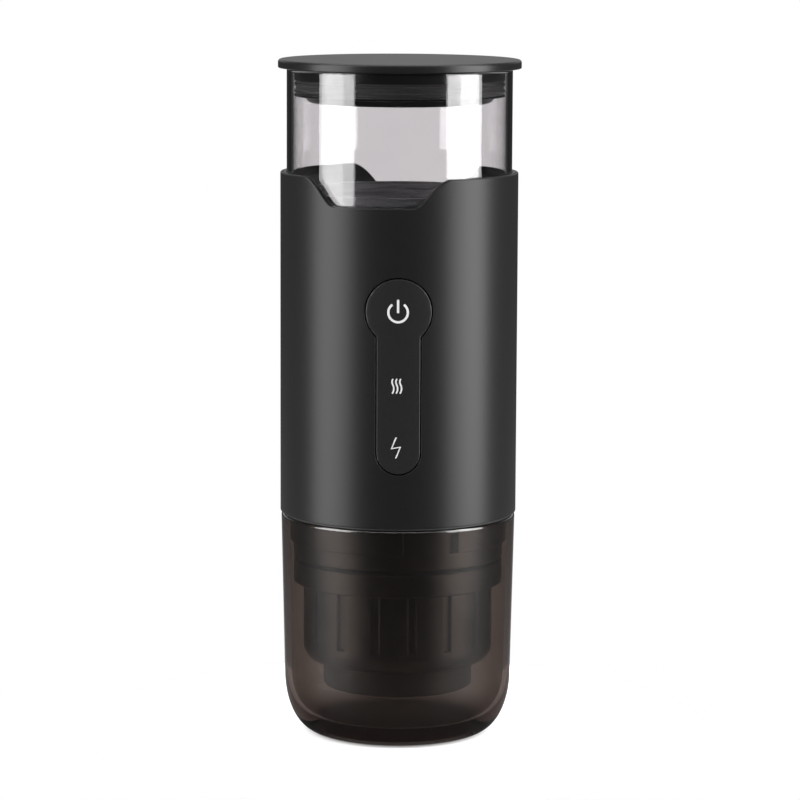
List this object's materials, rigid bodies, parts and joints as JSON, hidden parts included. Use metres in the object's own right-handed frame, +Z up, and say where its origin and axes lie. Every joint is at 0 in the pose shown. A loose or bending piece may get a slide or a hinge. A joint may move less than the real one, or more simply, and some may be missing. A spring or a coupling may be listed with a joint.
{
  "type": "capsule coffee machine",
  "caption": "Slim upright battery capsule coffee machine: smoked cup below, black sleeve with a key plate, glass tank and plug lid above.",
  "frame": {"origin": "centre of the cup's foot, on the surface that the machine stands on", "axes": "+Z up along the common axis, -Y towards the key plate, +X to the right of it"},
  "size_m": [0.0764, 0.0764, 0.2145],
  "materials": {
    "smoked_cup": "smoke-tinted clear copolyester, polished",
    "black_sleeve": "fine matte black powder coat on aluminium",
    "black_moulding": "moulded black ABS",
    "grey_moulding": "moulded dark grey nylon",
    "key_black": "satin black polycarbonate",
    "lid_black": "satin black polypropylene",
    "black_silicone": "black silicone",
    "red_silicone": "red silicone O-ring",
    "clear_hose": "milky silicone hose",
    "tank_glass": "clear borosilicate glass",
    "boiler_coat": "dark non-stick coat on aluminium",
    "stainless": "stainless steel",
    "brass_tube": "drawn brass",
    "copper_coil": null,
    "cell_wrap": null,
    "nickel_tab": "nickel strip",
    "board_green": "glass-fibre circuit board",
    "chip_black": "moulded chip package",
    "clear_guide": "clear light guide",
    "white_moulding": "white nylon",
    "wire_red": "silicone-coated wire",
    "shield_mica": "pressed mica sheet"
  },
  "bodies": {
    "cup": {"cup": "smoked_cup", "foot_pads": "black_silicone"},
    "machine": {"outer_sleeve": "black_sleeve", "inner_housing": "black_moulding", "base_frame": "black_moulding", "cup_seal": "black_silicone", "brew_head": "grey_moulding", "piercing_plate": "stainless", "brew_gasket": "black_silicone", "deck_screws": "stainless", "cell_cradle": "grey_moulding", "battery_cells": "cell_wrap", "cell_clamp": "grey_moulding", "cell_tabs": "nickel_tab", "pump_stand": "black_moulding", "pump_case": "black_moulding", "pump_coil": "copper_coil", "pump_end_plate": "stainless", "pump_tube": "brass_tube", "pump_spring": "stainless", "outlet_hose": "clear_hose", "inlet_hose": "clear_hose", "control_board": "board_green", "board_chips": "chip_black", "tact_switch": "chip_black", "light_guides": "clear_guide", "key_pin": "stainless", "charge_board": "board_green", "usb_socket": "stainless", "wire_loom": "wire_red", "heat_shield": "shield_mica", "heating_element": "stainless", "thermal_sensor": "white_moulding", "boiler_pot": "boiler_coat", "tank_strainer": "stainless", "tank_gasket": "black_silicone", "tank_glass": "tank_glass"},
    "lid": {"lid_cap": "lid_black", "lid_plug": "lid_black", "lid_seal": "black_silicone"},
    "basket": {"capsule_basket": "grey_moulding", "basket_ring": "red_silicone", "outlet_plate": "stainless"},
    "holder": {"capsule_holder": "black_moulding", "spout_nozzle": "grey_moulding"},
    "key": {"key_plate": "key_black"},
    "plunger": {"switch_plunger": "white_moulding"},
    "piston": {"pump_piston": "stainless"}
  },
  "joints": [
    {"name": "machine_lift", "type": "slide", "parent": "cup", "child": "machine", "axis": [0, 0, 1], "range_m": [0, 0.075]},
    {"name": "lid_lift", "type": "slide", "parent": "machine", "child": "lid", "axis": [0, 0, 1], "range_m": [0, 0.04]},
    {"name": "holder_drop", "type": "slide", "parent": "machine", "child": "basket", "axis": [0, 0, -1], "range_m": [0, 0.006]},
    {"name": "holder_turn", "type": "hinge", "parent": "basket", "child": "holder", "pos_m": [0, 0, 0.035], "axis": [0, 0, -1], "range_deg": [0, 180]},
    {"name": "key_press", "type": "hinge", "parent": "machine", "child": "key", "pos_m": [0, -0.03433, 0.09255], "axis": [-1, 0, 0], "range_deg": [0, 0.6], "stiffness_Nm_per_rad": 3},
    {"name": "plunger_press", "type": "slide", "parent": "machine", "child": "plunger", "axis": [0, 1, 0], "range_m": [0, 0.0005]},
    {"name": "pump_stroke", "type": "slide", "parent": "machine", "child": "piston", "axis": [0, 0, -1], "range_m": [0, 0.004], "stiffness_N_per_m": 600, "springref_m": -0.004, "deforming": ["pump_spring"]}
  ],
  "couplings": [
    {"joint": "holder_drop", "follows": "holder_turn", "m_per_rad": 0.0019098},
    {"joint": "plunger_press", "follows": "key_press", "m_per_rad": 0.04635}
  ]
}
